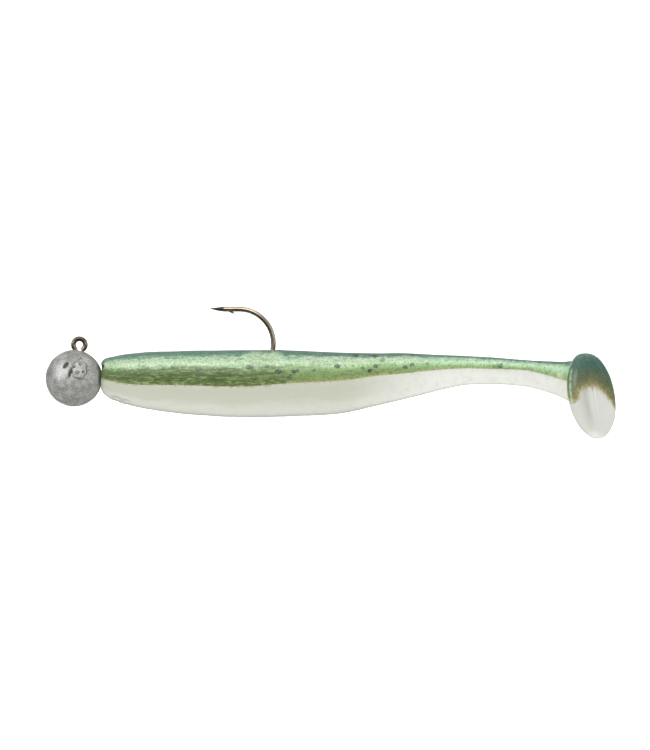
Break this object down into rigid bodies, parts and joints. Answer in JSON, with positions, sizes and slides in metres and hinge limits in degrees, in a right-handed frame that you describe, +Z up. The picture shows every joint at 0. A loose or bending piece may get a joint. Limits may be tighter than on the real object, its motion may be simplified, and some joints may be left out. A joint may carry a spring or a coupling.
{
  "type": "swimbait",
  "caption": "Paddle-tail soft-plastic swimbait, green back over a pearl belly, rigged on a round lead jig head with an upturned barbed hook.",
  "frame": {"origin": "centre of the line eye on top of the lead head", "axes": "+X from the lead head back to the paddle tail, +Z up towards the hook point, -Y the flank that the tail is curled towards at rest"},
  "size_m": [0.111, 0.0219, 0.0254],
  "materials": {
    "lead": "raw matte casting",
    "hook_wire": "black nickel",
    "green_pearl": "pearl gloss",
    "pearl_white": "pearl gloss"
  },
  "bodies": {
    "rigged_front": {"lead_head": "lead", "jig_hook": "hook_wire", "front_top": "green_pearl", "front_belly": "pearl_white", "mid_flex_top": "green_pearl", "mid_flex_belly": "pearl_white"},
    "mid_section": {"mid_top": "green_pearl", "mid_belly": "pearl_white", "rear_flex_top": "green_pearl", "rear_flex_belly": "pearl_white"},
    "rear_section": {"rear_top": "green_pearl", "rear_belly": "pearl_white", "stem_flex_top": "green_pearl", "stem_flex_belly": "pearl_white"},
    "stem_front_section": {"stem_front_top": "green_pearl", "stem_front_belly": "pearl_white", "tail_flex_top": "green_pearl", "tail_flex_belly": "pearl_white"},
    "stem_rear_section": {"stem_rear_top": "green_pearl", "stem_rear_belly": "pearl_white", "paddle_flex_top": "green_pearl", "paddle_flex_belly": "pearl_white"},
    "paddle_section": {"paddle_top": "green_pearl", "paddle_belly": "pearl_white"}
  },
  "joints": [
    {"name": "mid_bend", "type": "hinge", "parent": "rigged_front", "child": "mid_section", "pos_m": [0.0461, 0, -0.0067], "axis": [0, 0, 1], "range_deg": [-20, 20], "stiffness_Nm_per_rad": 0.0063, "deforming": ["mid_flex_top", "mid_flex_belly"]},
    {"name": "rear_bend", "type": "hinge", "parent": "mid_section", "child": "rear_section", "pos_m": [0.0571, 0, -0.0067], "axis": [0, 0, 1], "range_deg": [-25, 25], "stiffness_Nm_per_rad": 0.0029, "deforming": ["rear_flex_top", "rear_flex_belly"]},
    {"name": "stem_bend", "type": "hinge", "parent": "rear_section", "child": "stem_front_section", "pos_m": [0.0681, -0.00006, -0.0067], "axis": [0, 0, 1], "range_deg": [-26, 38], "stiffness_Nm_per_rad": 0.00075, "deforming": ["stem_flex_top", "stem_flex_belly"]},
    {"name": "tail_bend", "type": "hinge", "parent": "stem_front_section", "child": "stem_rear_section", "pos_m": [0.07904, -0.00121, -0.0067], "axis": [0, 0, 1], "range_deg": [-29, 41], "stiffness_Nm_per_rad": 0.000185, "deforming": ["tail_flex_top", "tail_flex_belly"]},
    {"name": "paddle_kick", "type": "hinge", "parent": "stem_rear_section", "child": "paddle_section", "pos_m": [0.08974, -0.00368, -0.0067], "axis": [0, 0, 1], "range_deg": [-21, 69], "stiffness_Nm_per_rad": 0.00015, "deforming": ["paddle_flex_top", "paddle_flex_belly"]}
  ]
}
